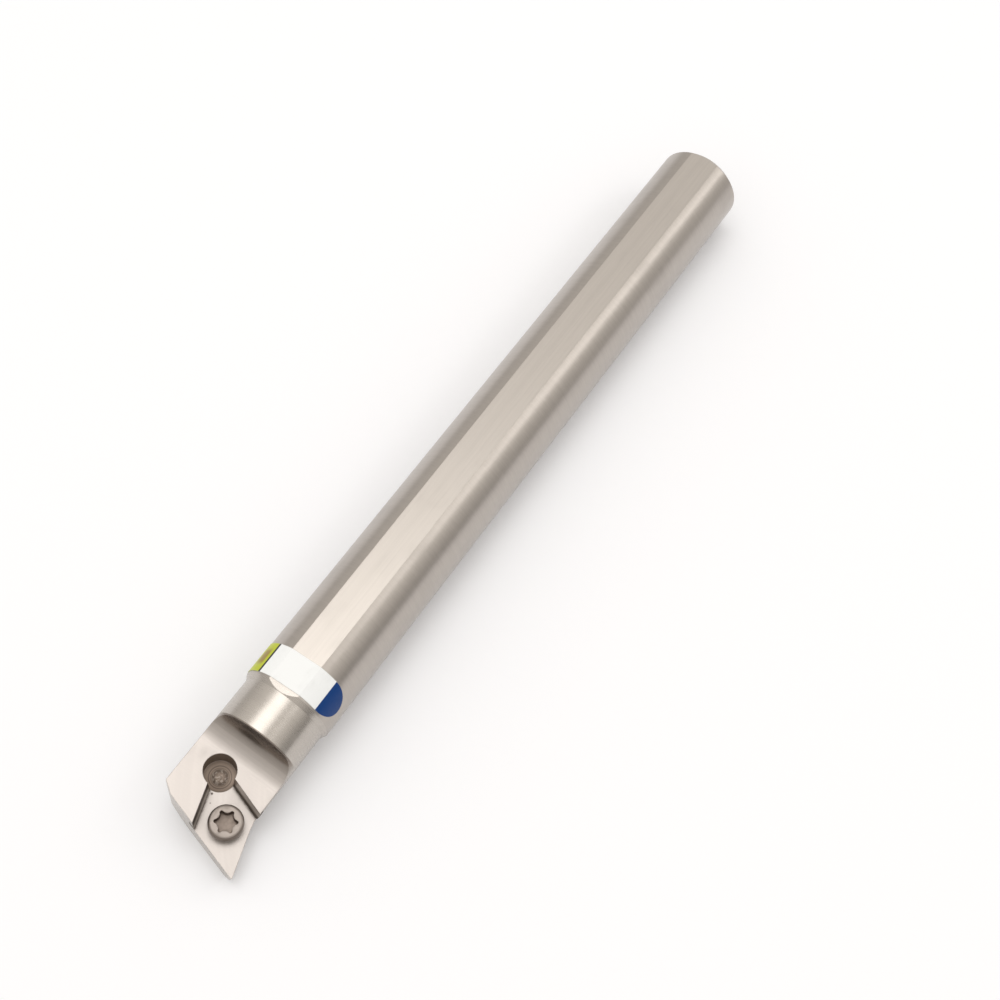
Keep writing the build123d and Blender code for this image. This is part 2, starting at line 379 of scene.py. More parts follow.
    def bump(self, surface, height, depth, normal=None):
        """Raises the surface by a pattern of the given depth in metres."""
        made = self.node("ShaderNodeBump")
        made.inputs["Distance"].default_value = depth
        self.feed(made.inputs["Height"], height)
        if normal is not None:
            self.feed(made.inputs["Normal"], normal)
        self.feed(surface.inputs["Normal"], made.outputs[0])


def rgba(colour):
    """Colour with full opacity."""
    return (*colour, 1.0)


def new_material(name):
    """Empty material with its surface shader; returns the material, its shading and the shader node."""
    material = bpy.data.materials.new(name)
    material.use_nodes = True
    shading = Shading(material.node_tree)
    return material, shading, material.node_tree.nodes["Principled BSDF"]


def new_group(name, inputs, outputs):
    """Empty shader node group; returns the tree, its shading, the sockets that come in and those that go out."""
    tree = bpy.data.node_groups.new(name, "ShaderNodeTree")
    for label, kind, default in inputs:
        socket = tree.interface.new_socket(label, in_out="INPUT", socket_type="NodeSocket" + kind)
        socket.default_value = default
    for label, kind in outputs:
        tree.interface.new_socket(label, in_out="OUTPUT", socket_type="NodeSocket" + kind)
    shading = Shading(tree)
    return tree, shading, shading.node("NodeGroupInput").outputs, shading.node("NodeGroupOutput").inputs


def tool_lines_group():
    """Fine lines side by side, each with its own depth and tone, that waver a little."""
    tree, shading, given, result = new_group(
        "tool_lines",
        (("Across", "Float", 0.0), ("Pitch", "Float", 0.3), ("Waver", "Float", 0.1), ("Place", "Vector", ORIGIN)),
        (("Height", "Float"), ("Tone", "Float")),
    )
    drift = shading.math("MULTIPLY", shading.noise(given["Place"], 0.35, 1.0), given["Waver"])
    count = shading.math("DIVIDE", shading.math("ADD", given["Across"], drift), given["Pitch"])
    line = shading.math("FLOOR", count)
    random = shading.node("ShaderNodeTexWhiteNoise", noise_dimensions="1D")
    shading.feed(random.inputs["W"], line)
    slope = shading.math("ABSOLUTE", shading.math("SUBTRACT", shading.math("FRACT", count), 0.5))
    ridge = shading.below(slope, 0.0, 0.5)
    depth = shading.math("MULTIPLY_ADD", random.outputs["Value"], 0.6, 0.4)
    shading.feed(result["Height"], shading.math("MULTIPLY", ridge, depth))

    broad = shading.node("ShaderNodeTexNoise", noise_dimensions="1D")
    shading.feed(broad.inputs["W"], count)
    broad.inputs["Scale"].default_value = 0.23
    broad.inputs["Detail"].default_value = 3.0
    broad_tone = shading.math("MULTIPLY", broad.outputs["Fac"], 0.6)
    shading.feed(result["Tone"], shading.math("MULTIPLY_ADD", random.outputs["Value"], 0.4, broad_tone))
    return tree


def edge_wear_group():
    """Rounds sharp edges in the shading and marks where handling has polished them bright."""
    tree, shading, given, result = new_group(
        "edge_wear",
        (("Width", "Float", 0.1), ("Place", "Vector", ORIGIN)),
        (("Wear", "Float"), ("Normal", "Vector")),
    )
    bevel = shading.node("ShaderNodeBevel", samples=6)
    shading.feed(bevel.inputs["Radius"], shading.math("MULTIPLY", given["Width"], MM))
    flat = shading.node("ShaderNodeNewGeometry").outputs["Normal"]
    turn = shading.math("SUBTRACT", 1.0, shading.vector("DOT_PRODUCT", bevel.outputs[0], flat, output="Value"))
    patches = shading.ramp(shading.noise(given["Place"], 0.9, 4.0, 0.6), 0.32, 0.62)
    shading.feed(result["Wear"], shading.both(shading.ramp(turn, 0.015, 0.12), patches))
    shading.feed(result["Normal"], bevel.outputs[0])
    return tree


def corner_shade_group():
    """Painted shade where surfaces meet at an inside corner, where ambient occlusion finds them closed in."""
    tree, shading, given, result = new_group(
        "corner_shade",
        (("Reach", "Float", 0.5), ("Place", "Vector", ORIGIN)),
        (("Painted shade", "Float"),),
    )
    shelter = shading.node("ShaderNodeAmbientOcclusion", samples=8, only_local=True)
    shading.feed(shelter.inputs["Distance"], shading.math("MULTIPLY", given["Reach"], MM))
    closed = shading.math("SUBTRACT", 1.0, shelter.outputs["AO"])
    patches = shading.ramp(shading.noise(given["Place"], 1.7, 4.0, 0.6), 0.25, 0.7, 0.45, 1.0)
    shading.feed(result["Painted shade"], shading.both(shading.ramp(closed, 0.06, 0.42), patches))
    return tree


def smudges_group():
    """Faint cloudy marks left by handling and wiping, and a fine grain."""
    tree, shading, given, result = new_group(
        "smudges", (("Place", "Vector", ORIGIN), ("Size", "Float", 6.0)), (("Smudge", "Float"), ("Grain", "Float"))
    )
    place = shading.node("ShaderNodeVectorMath", operation="SCALE")
    shading.feed(place.inputs[0], given["Place"])
    shading.feed(place.inputs["Scale"], shading.math("DIVIDE", 1.0, given["Size"]))
    clouds = shading.noise(place.outputs[0], 1.0, 5.0, 0.55)
    streaks = shading.noise(shading.stretched(place.outputs[0], 0.4, 2.2, 2.2), 1.6, 3.0, 0.6)
    shading.feed(result["Smudge"], shading.both(shading.ramp(clouds, 0.42, 0.68), shading.ramp(streaks, 0.3, 0.7)))
    shading.feed(result["Grain"], shading.noise(given["Place"], 7.0, 3.0, 0.7))
    return tree


EFFECTS = {
    "tool_lines": tool_lines_group,
    "edge_wear": edge_wear_group,
    "corner_shade": corner_shade_group,
    "smudges": smudges_group,
}


def dress(node, material):
    """Gives a piece of the frame its material."""
    data = frame["nodes"][node].data
    data.materials.clear()
    data.materials.append(material)


# ---------------------------------------------------------------- stage


def add_camera(settings):
    """Camera that points at the target and is then turned about its line of sight."""
    camera = bpy.data.objects.new("camera", bpy.data.cameras.new("camera"))
    camera.data.lens = settings.camera_lens
    camera.data.clip_start = 0.01
    camera.data.clip_end = 20.0
    place = Vector(settings.camera_place)
    aim = (Vector(settings.camera_target) - place).to_track_quat("-Z", "Y")
    camera.location = place
    camera.rotation_mode = "QUATERNION"
    camera.rotation_quaternion = aim @ Quaternion((0, 0, 1), settings.camera_roll)
    bpy.context.scene.collection.objects.link(camera)
    bpy.context.scene.camera = camera


def add_floor(settings):
    """Pale matt floor under the bar."""
    material, shading, surface = new_material("floor_paper")
    surface.inputs["Base Color"].default_value = rgba(settings.floor_colour)
    surface.inputs["Roughness"].default_value = 0.9
    surface.inputs["Specular IOR Level"].default_value = 0.1
    surface.inputs["Emission Color"].default_value = (1.0, 1.0, 1.0, 1.0)
    path = shading.node("ShaderNodeLightPath").outputs
    seen = shading.either(path["Is Camera Ray"], path["Is Glossy Ray"], path["Is Transmission Ray"])
    shading.feed(surface.inputs["Emission Strength"], shading.math("MULTIPLY", seen, settings.floor_glow))
    mesh = bpy.data.meshes.new("floor")
    reach, level = 6.0, FLOOR_LEVEL
    corners = [(-reach, -reach, level), (reach, -reach, level), (reach, reach, level), (-reach, reach, level)]
    mesh.from_pydata(corners, [], [(0, 1, 2, 3)])
    mesh.materials.append(material)
    floor = bpy.data.objects.new("floor", mesh)
    bpy.context.scene.collection.objects.link(floor)


def add_room(settings):
    """Even light from all round: brightest overhead, dark in front on the cutting side."""
    world = bpy.data.worlds.new("room")
    world.use_nodes = True
    shading = Shading(world.node_tree)
    x, y, z = shading.separate(shading.node("ShaderNodeTexCoord").outputs["Generated"])
    side = shading.both(shading.ramp(y, -0.2, 0.7), shading.ramp(x, -0.75, -0.15))
    colour = shading.blend(side, rgba(settings.horizon_colour), rgba(settings.dark_side_colour))
    colour = shading.blend(shading.ramp(z, 0.0, 0.75), colour, rgba(settings.ceiling_colour))
    shading.feed(world.node_tree.nodes["Background"].inputs["Color"], colour)
    bpy.context.scene.world = world


def soft_box(name, colour, radiance, size, place, target, along):
    """Area lamp that looks equally bright from everywhere in front of it. Its width lies in the direction along."""
    lamp = bpy.data.lights.new(name, "AREA")
    lamp.shape = "RECTANGLE"
    lamp.size, lamp.size_y = size
    lamp.energy = radiance * math.pi * size[0] * size[1]
    lamp.color = colour
    holder = bpy.data.objects.new(name, lamp)
    back = (Vector(place) - Vector(target)).normalized()
    upright = back.cross(Vector(along)).normalized()
    holder.location = place
    holder.rotation_mode = "QUATERNION"
    holder.rotation_quaternion = Matrix((upright.cross(back), upright, back)).transposed().to_quaternion()
    bpy.context.scene.collection.objects.link(holder)


class BORINGBAR_OT_stage(bpy.types.Operator):
    """Makes the floor, the lamps, the room light and the camera"""

    bl_idname = "boringbar.stage"
    bl_label = "Stage"

    def execute(self, context):
        settings = context.scene.boring_bar_stage
        context.scene.view_settings.view_transform = "Standard"
        add_camera(settings)
        add_floor(settings)
        add_room(settings)
        soft_box(
            "key_lamp", settings.lamp_colour, settings.key_radiance, size=(0.57, 0.42),
            place=(0.035, -0.10, 0.75), target=(0.12, 0.0, 0.0), along=(0.762, -0.648, 0.0),
        )
        soft_box(
            "side_lamp", settings.lamp_colour, settings.side_radiance, size=(0.72, 0.15),
            place=(-0.46, 0.505, 0.60), target=(0.05, 0.0, 0.0), along=(0.978, -0.21, 0.0),
        )
        return {"FINISHED"}


# ---------------------------------------------------------------- bar


class BarSteel:
    """Steel of the bar: where each finish lies, its marks, colour, roughness and relief. Lengths are in millimetres."""

    def __init__(self, settings):
        self.settings = settings
        self.material, self.shading, self.surface = new_material("bar_steel")
        self.place = self.shading.place()
        self.facing = self.shading.facing()
        self.find_finishes()
        self.find_pocket_walls()
        self.add_marks()
        self.paint_shade_and_pits()

    def find_finishes(self):
        """Masks of what was ground, turned, milled and drilled."""
        shading = self.shading
        self.x, self.y, z = shading.separate(self.place)
        squares = shading.math("MULTIPLY_ADD", self.y, self.y, shading.math("MULTIPLY", z, z))
        self.radius = shading.math("SQRT", squares)
        self.lift = shading.lift(self.place)
        self.from_hole = shading.from_axis(self.place, RELIEF_HOLE)
        self.from_screw = shading.from_axis(self.place, SCREW_AXIS)
        upward = shading.along(self.facing, SEAT_NORMAL)

        self.flat = shading.both(
            shading.ramp(shading.math("ABSOLUTE", z), FLAT_HEIGHT - 0.015, FLAT_HEIGHT - 0.005),
            shading.below(self.x, SHANK_END + 0.6, SHANK_END + 0.7),
        )
        self.rear = shading.below(self.x, REAR_FACE_EDGE - 0.01, REAR_FACE_EDGE + 0.01)
        self.neck = shading.ramp(self.x, SHANK_END, SHANK_END + 0.05)
        self.head = shading.both(
            shading.ramp(self.x, HEAD_START, HEAD_START + 0.1), shading.ramp(upward, 0.35, 0.97)
        )
        self.side = shading.both(
            shading.ramp(self.x, HEAD_START + 0.3, HEAD_START + 0.4), shading.ramp(upward, 0.35, 0.25)
        )
        self.gullet = shading.both(
            shading.within(self.x, HEAD_START, GULLET_END, 0.05), shading.ramp(self.lift, PROUD - 0.01, PROUD + 0.01)
        )
        self.hole = shading.both(
            shading.below(self.from_hole, RELIEF_RADIUS + 0.01, RELIEF_RADIUS + 0.05),
            shading.within(self.lift, RELIEF_BOTTOM, PROUD - 0.035, 0.025),
        )
        self.tapped = shading.both(
            shading.below(self.from_screw, TAPPED_RADIUS + 0.02, TAPPED_RADIUS + 0.04),
            shading.below(self.lift, TAP_EDGE - 0.02, TAP_EDGE + 0.02),
        )

    def find_pocket_walls(self):
        """Masks of both pocket walls and of the rear one."""
        shading = self.shading
        offset = shading.vector("SUBTRACT", self.place, POCKET_CORNER)
        distances = [shading.math("ABSOLUTE", shading.along(offset, normal)) for normal in WALL_NORMALS]
        turned_to = [shading.along(self.facing, normal) for normal in WALL_NORMALS]
        self.walls = shading.both(
            shading.below(shading.math("MINIMUM", *distances), 0.55, 0.65),
            shading.ramp(shading.either(*turned_to), 0.85, 0.92),
            shading.within(self.lift, 0.03, PROUD - 0.03, 0.02),
        )
        self.rear_wall = shading.ramp(turned_to[0], 0.85, 0.92)

    def add_marks(self):
        """Tool lines, streaks, smudges and worn edges."""
        shading, settings = self.shading, self.settings
        # Rings on what was turned, ground round or drilled, lines along the flats, arcs on the head.
        arcs = shading.vector("DISTANCE", self.place, MILLING_CENTRE, output="Value")
        across = shading.between(self.flat, self.x, self.y)
        across = shading.between(self.rear, across, self.radius)
        across = shading.between(self.head, across, arcs)
        across = shading.between(self.side, across, self.lift)
        across = shading.between(self.gullet, across, shading.math("SUBTRACT", self.lift, self.x))
        across = shading.between(self.hole, across, shading.math("ADD", self.from_hole, self.lift))
        turned = shading.either(self.neck, self.rear)
        milled = shading.either(self.head, self.side, self.gullet)
        pitch = shading.between(turned, settings.grinding_pitch / MM, settings.turning_pitch / MM)
        pitch = shading.between(milled, pitch, settings.milling_pitch / MM)
        pitch = shading.between(self.hole, pitch, settings.drilling_pitch / MM)
        self.lines = shading.group("tool_lines", Across=across, Pitch=pitch, Waver=0.12, Place=self.place)

        round_streak = shading.noise(shading.stretched(self.place, 2.4, 0.35, 0.35), 1.6, 4.0, 0.65)
        flat_streak = shading.noise(shading.stretched(self.place, 0.12, 3.2, 0.5), 1.6, 4.0, 0.6)
        self.streak = shading.between(self.flat, round_streak, flat_streak)
        self.marks = shading.group("smudges", Place=self.place, Size=9.0)
        self.wear = shading.group("edge_wear", Width=settings.wear_width / MM, Place=self.place)

    def paint_shade_and_pits(self):
        """Painted shade in the corners and along the pocket walls' foot or brow, and small pits."""
        shading = self.shading
        # Painted shade in the inside corners, fainter near the relief hole and the screw.
        shaded_corners = shading.group("corner_shade", Reach=0.55, Place=self.place)["Painted shade"]
        near_screw = shading.below(self.from_screw, SCREW_SEAT_RADIUS, SCREW_SEAT_RADIUS + 0.4)
        faint_shade = shading.either(self.hole, near_screw)
        shaded_corners = shading.math("MULTIPLY", shaded_corners, shading.between(faint_shade, self.settings.corner_shade_cover, 0.3))
        # Painted shade along the pocket walls: dark at the rear wall's foot and at the side wall's brow.
        foot = shading.ramp(self.lift, 0.9, 1.7, 0.85, 0.12)
        brow = shading.ramp(self.lift, 1.1, 1.9, 0.12, 0.85)
        shade = shading.both(self.walls, shading.between(self.rear_wall, brow, foot))
        pits = shading.either(*(shading.spot(self.place, centre, radius) for centre, radius in PITS))
        self.shade_and_pits = shading.either(shaded_corners, shade, shading.math("MULTIPLY", pits, 0.7))

    def tone(self):
        """How the tools' lines, streaks and smudges darken or lighten the steel."""
        shading = self.shading
        strength = shading.between(self.hole, shading.between(self.gullet, 0.018, 0.05), 0.32)
        rings = shading.math("MULTIPLY", shading.ramp(self.lines["Tone"], 0.25, 0.75, -1.0, 1.0), strength)
        tone = shading.math("ADD", shading.ramp(self.streak, 0.3, 0.7, 0.98, 1.02), rings)
        return shading.math("MULTIPLY", tone, shading.ramp(self.marks["Smudge"], 0.0, 1.0, 1.0, 0.96))

    def relief_hole_colour(self, colour):
        """Adds the painted highlight in the middle, the painted glints and the lighter wall of the relief hole."""
        shading, settings = self.shading, self.settings
        # Painted highlight in the middle of the hole's bottom.
        centre = shading.both(self.hole, shading.ramp(self.from_hole, 0.1, 0.9, 0.1, 0.0))
        colour = shading.blend(centre, colour, rgba(settings.hole_highlight_colour))
        # Painted glints near the middle of the hole's bottom.
        glints = shading.both(
            self.hole, shading.ramp(self.from_hole, 0.5, 1.7, 0.5, 0.0),
            shading.ramp(shading.noise(self.place, 2.6, 3.0), 0.50, 0.62),
        )
        colour = shading.blend(glints, colour, rgba(settings.glint_colour))
        wall = shading.both(self.hole, shading.ramp(self.from_hole, RELIEF_RADIUS - 0.15, RELIEF_RADIUS - 0.03))
        return shading.stained(colour, wall, 0.6, settings.hole_wall_colour)

    def set_colour(self):
        """Colour of each finish with its marks, painted shade, painted highlights, pits and worn edges."""
        shading, settings = self.shading, self.settings
        colour = shading.blend(self.neck, rgba(settings.shank_colour), rgba(settings.neck_colour))
        colour = shading.blend(self.flat, colour, rgba(settings.flat_colour))
        colour = shading.blend(self.head, colour, rgba(settings.head_colour))
        # Painted shade and painted dark reflection in the gullet's hollow, with more shade high on its wall.
        hollow = shading.both(self.gullet, shading.ramp(self.lift, PROUD + 0.05, PROUD + 2.8))
        colour = shading.stained(colour, hollow, settings.gullet_shade_cover, settings.gullet_shade_colour)
        hollow_top = shading.both(self.gullet, shading.ramp(self.lift, PROUD + 2.0, PROUD + 3.6))
        colour = shading.stained(colour, hollow_top, 0.26, settings.shade_colour)
        # Painted shade inside the relief hole and the tapped hole.
        colour = shading.blend(shading.either(self.hole, self.tapped), colour, rgba(settings.hole_shade_colour))
        colour = shading.toned(colour, self.tone())
        colour = self.relief_hole_colour(colour)
        # Painted shade in the corners and along the pocket walls, and the dark pits.
        colour = shading.blend(self.shade_and_pits, colour, rgba(settings.shade_colour))
        colour = shading.stained(colour, self.wear["Wear"], settings.edge_polish, settings.worn_colour)
        shading.feed(self.surface.inputs["Base Color"], colour)
        self.surface.inputs["Metallic"].default_value = 1.0

    def set_roughness(self):
        """Roughness of each finish; smudges, pits and the places of painted shade are duller."""
        shading, settings = self.shading, self.settings
        rough = shading.between(self.neck, settings.shank_roughness, settings.neck_roughness)
        rough = shading.between(shading.either(self.head, self.hole), rough, settings.head_roughness)
        smudged = shading.math("MULTIPLY", shading.ramp(self.marks["Smudge"], 0.0, 1.0), 0.04)
        rough = shading.math("ADD", rough, smudged)
        rough = shading.math("ADD", rough, shading.ramp(self.streak, 0.25, 0.75, -0.015, 0.015))
        rough = shading.math("ADD", rough, shading.math("MULTIPLY", self.shade_and_pits, 0.3))
        shading.feed(self.surface.inputs["Roughness"], rough)

    def set_relief(self):
        """Height of the tool marks and the grain, lower on the neck."""
        shading = self.shading
        relief = shading.math("MULTIPLY_ADD", self.marks["Grain"], 0.12, self.lines["Height"])
        relief = shading.math("MULTIPLY", relief, shading.between(self.neck, 1.0, 0.6))
        shading.bump(self.surface, relief, self.settings.mark_depth, self.wear["Normal"])


class BORINGBAR_OT_bar(bpy.types.Operator):
    """Gives the bar its ground, turned and milled steel"""

    bl_idname = "boringbar.bar"
    bl_label = "Bar"

    def execute(self, context):
        steel = BarSteel(context.scene.boring_bar_steel)
        steel.set_colour()
        steel.set_roughness()
        steel.set_relief()
        dress("boring_bar", steel.material)
        return {"FINISHED"}


# ---------------------------------------------------------------- clamp screw


class ScrewShape:
    """Clamp screw as rings of points round its axis. Lengths are in millimetres above the pocket floor."""

    COLUMNS = 144  # points in a ring
    ROWS_PER_TURN = 14  # rings in one turn of the thread
    EDGE_RADIUS = 0.55  # rounding of the head's edge
    EDGE_STEPS = 8
    MOUTH_DEPTH = 0.07  # bevel where the recess opens
    MOUTH_EDGE = 0.04  # by which that bevel widens the lobes
    FLOOR_DIP = 0.12  # shallow cone in the recess's floor
    FLOOR_EDGE = 0.05  # bevel round that floor
    CONE_START = -0.185  # lower end of the countersunk cone
    CONE_SLOPE = math.tan(math.radians(30))
    NECK_HEIGHT = 0.1  # plain shaft between the cone and the thread
    TIP_BEVEL = 0.35
    ROOT_WIDTH, FLANK_WIDTH = 0.18, 0.66  # shares of half a turn of the thread

    def __init__(self, settings):
        self.head = settings.head_diameter / MM / 2
        self.shaft = settings.shaft_diameter / MM / 2
        self.thread_depth = settings.thread_depth / MM
        self.pitch = settings.thread_pitch / MM
        self.lobe = settings.lobe_diameter / MM / 2
        self.valley = settings.valley_diameter / MM / 2
        self.tip = settings.lobe_radius / MM
        self.mouth = settings.mouth_diameter / MM / 2
        self.recess_depth = settings.recess_depth / MM
        self.turn = settings.recess_turn
        self.rings = []

    def star(self, angle):
        """Radius of the recess in a direction: six round lobes with hollow valleys between them."""
        middle = self.lobe - self.tip
        lean = math.cos(math.pi / 6)
        hollow = (self.tip**2 - middle**2 - self.valley**2 + 2 * middle * self.valley * lean) / (
            2 * (self.valley - middle * lean - self.tip)
        )
        hollow_middle = self.valley + hollow
        share = self.tip / (self.tip + hollow)
        join_along = middle + (hollow_middle * lean - middle) * share
        join_across = hollow_middle * 0.5 * share
        from_lobe = abs((angle - self.turn + math.pi / 6) % (math.pi / 3) - math.pi / 6)
        if from_lobe <= math.atan2(join_across, join_along):
            return middle * math.cos(from_lobe) + math.sqrt(self.tip**2 - (middle * math.sin(from_lobe)) ** 2)
        from_valley = math.pi / 6 - from_lobe
        reach = hollow_middle * math.cos(from_valley)
        return reach - math.sqrt(reach**2 - hollow_middle**2 + hollow**2)

    def opening(self, angle):
        """Radius of the recess at the head's top, where its edge and the teeth are bevelled."""
        return max(self.star(angle) + self.MOUTH_EDGE, self.mouth)

    def ring(self, height, radius):
        """Adds a ring of points. The radius is a number or a function of the direction."""
        angles = [2 * math.pi * index / self.COLUMNS for index in range(self.COLUMNS)]
        radii = [radius(angle) if callable(radius) else radius for angle in angles]
        self.rings.append([(r * math.cos(a), r * math.sin(a), height) for r, a in zip(radii, angles)])

    def threaded(self, height, low, high):
        """Radius of the threaded shaft at a height, as a function of the direction."""
        fade = min(1.0, max(0.0, (high - height) / self.pitch))
        limit = self.shaft - max(0.0, low + self.TIP_BEVEL - height)

        def radius(angle):
            phase = (height / self.pitch - angle / (2 * math.pi)) % 1.0
            crest = min(1.0, max(0.0, (abs(2 * phase - 1) - self.ROOT_WIDTH) / self.FLANK_WIDTH))
            return min(limit, self.shaft - self.thread_depth * fade * (1 - crest))

        return radius

    def add_recess(self, top):
        """Rings from the middle of the recess's floor up to the head's top."""
        floor = top - self.recess_depth
        for share in (0.05, 0.3, 0.6, 0.85):
            self.ring(floor - self.FLOOR_DIP * (1 - share), lambda a, s=share: self.star(a) * s)
        self.ring(floor, lambda a: self.star(a) - self.FLOOR_EDGE)
        self.ring(floor + self.FLOOR_EDGE, self.star)
        self.ring(top - self.MOUTH_DEPTH, self.star)
        self.ring(top, self.opening)

    def add_head(self, top):
        """Rings over the head's top, round its edge and down its cone."""
        inner = self.head - self.EDGE_RADIUS
        for share in (0.15, 0.5, 0.85):
            self.ring(top, lambda a, s=share: self.opening(a) * (1 - s) + inner * s)
        for step in range(self.EDGE_STEPS + 1):
            angle = math.radians(step * 90 / self.EDGE_STEPS)
            self.ring(top - self.EDGE_RADIUS * (1 - math.cos(angle)), inner + self.EDGE_RADIUS * math.sin(angle))
        cone_end = self.CONE_START + (self.head - self.shaft) / self.CONE_SLOPE
        self.ring(cone_end + 0.05, self.head)
        self.ring(cone_end, self.head - 0.02)
        self.ring(self.CONE_START, self.shaft)

    def add_thread(self, low):
        """Rings down the thread to the end of the shaft."""
        top = self.CONE_START - self.NECK_HEIGHT
        rows = round((top - low) / self.pitch * self.ROWS_PER_TURN)
        for row in range(rows + 1):
            height = top + (low - top) * row / rows
            self.ring(height, self.threaded(height, low, top))
        for radius in (0.8, 0.1):
            self.ring(low, radius)


def ringed_mesh(name, rings, place, sharp_angle):
    """Closed mesh through rings of points, with a point at each end. Creases over the sharp angle stay sharp."""
    mesh = bmesh.new()
    rows = [[mesh.verts.new(place @ Vector(point)) for point in ring] for ring in rings]
    ends = [mesh.verts.new(place @ Vector((0.0, 0.0, ring[0][2]))) for ring in (rings[0], rings[-1])]
    count = len(rings[0])
    for upper, lower in zip(rows, rows[1:]):
        for index in range(count):
            following = (index + 1) % count
            mesh.faces.new((upper[index], lower[index], lower[following], upper[following]))
    for index in range(count):
        following = (index + 1) % count
        mesh.faces.new((ends[0], rows[0][index], rows[0][following]))
        mesh.faces.new((ends[1], rows[-1][following], rows[-1][index]))
    bmesh.ops.recalc_face_normals(mesh, faces=mesh.faces)
    for face in mesh.faces:
        face.smooth = True
    for edge in mesh.edges:
        edge.smooth = edge.calc_face_angle(0.0) < sharp_angle
    data = bpy.data.meshes.new(name)
    mesh.to_mesh(data)
    mesh.free()
    piece = bpy.data.objects.new(name, data)
    bpy.context.scene.collection.objects.link(piece)
    return piece


def screw_steel(settings, shape):
    """Steel of the clamp screw, with painted shade and a painted reflection round the head's rim, and painted shade in
    the recess and the corners.
    """
    material, shading, surface = new_material("screw_steel")
    place = shading.place()
    lift = shading.lift(place)
    away = shading.from_axis(place, SCREW_AXIS)
    recess = shading.both(
        shading.below(away, shape.lobe, shape.lobe + 0.05),
        shading.below(lift, SCREW_TOP - 0.3, SCREW_TOP - 0.04),
        shading.ramp(lift, 0.3, 0.5),
    )
    rim = shading.both(
        shading.ramp(away, shape.head - shape.EDGE_RADIUS, shape.head - 0.25),
        shading.ramp(lift, SCREW_TOP - 0.02, SCREW_TOP - 0.12),
    )
    lines = shading.group("tool_lines", Across=away, Pitch=0.22, Waver=0.06, Place=place)
    marks = shading.group("smudges", Place=place, Size=2.5)
    wear = shading.group("edge_wear", Width=0.07, Place=place)
    shaded_corners = shading.group("corner_shade", Reach=0.45, Place=place)["Painted shade"]

    # Painted shade on the rim's side towards the bar's tip, a painted reflection of the pocket floor on its other side.
    from_middle = shading.vector("SUBTRACT", place, tuple(SCREW_AXIS / MM))
    tipward = shading.along(from_middle, (0.83, 0.56, 0.0))
    rim_shade_and_reflection = shading.blend(
        shading.ramp(tipward, -2.2, 1.2), rgba(settings.rim_reflection_colour), rgba(settings.rim_shade_colour)
    )
    colour = shading.blend(rim, rgba(settings.top_colour), rim_shade_and_reflection)
    # Painted shade in the recess.
    colour = shading.blend(recess, colour, rgba(settings.recess_shade_colour))
    line_tone = shading.ramp(lines["Tone"], 0.25, 0.75, 0.95, 1.05)
    smudge_tone = shading.ramp(marks["Smudge"], 0.0, 1.0, 1.0, 0.85)
    colour = shading.toned(colour, shading.math("MULTIPLY", line_tone, smudge_tone))
    # Painted shade in the corners, stronger in the recess.
    colour = shading.stained(colour, shaded_corners, shading.between(recess, 0.3, 0.8), settings.shade_colour)
    colour = shading.stained(colour, wear["Wear"], settings.edge_polish, settings.worn_colour)
    shading.feed(surface.inputs["Base Color"], colour)
    surface.inputs["Metallic"].default_value = 1.0
    shading.feed(surface.inputs["Roughness"], shading.math("MULTIPLY_ADD", marks["Smudge"], 0.12, settings.roughness))
    relief = shading.math("MULTIPLY_ADD", marks["Grain"], 0.6, lines["Height"])
    shading.bump(surface, relief, settings.mark_depth, wear["Normal"])
    return material


class BORINGBAR_OT_screw(bpy.types.Operator):
    """Makes the clamp screw with its thread and its six-lobe recess"""

    bl_idname = "boringbar.screw"
    bl_label = "Clamp screw"

    def execute(self, context):
        settings = context.scene.boring_bar_screw
        shape = ScrewShape(settings)
        shape.add_recess(SCREW_TOP)
        shape.add_head(SCREW_TOP)
        shape.add_thread(SCREW_LOW_END)
        seat = Matrix.Translation(SCREW_AXIS) @ SEAT_TURN @ Matrix.Scale(MM, 4)
        screw = ringed_mesh("clamp_screw_threaded", shape.rings, seat, math.radians(38))
        screw.data.materials.append(screw_steel(settings, shape))
        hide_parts("clamp_screw")
        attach(screw, "screw")
        return {"FINISHED"}


# ---------------------------------------------------------------- label


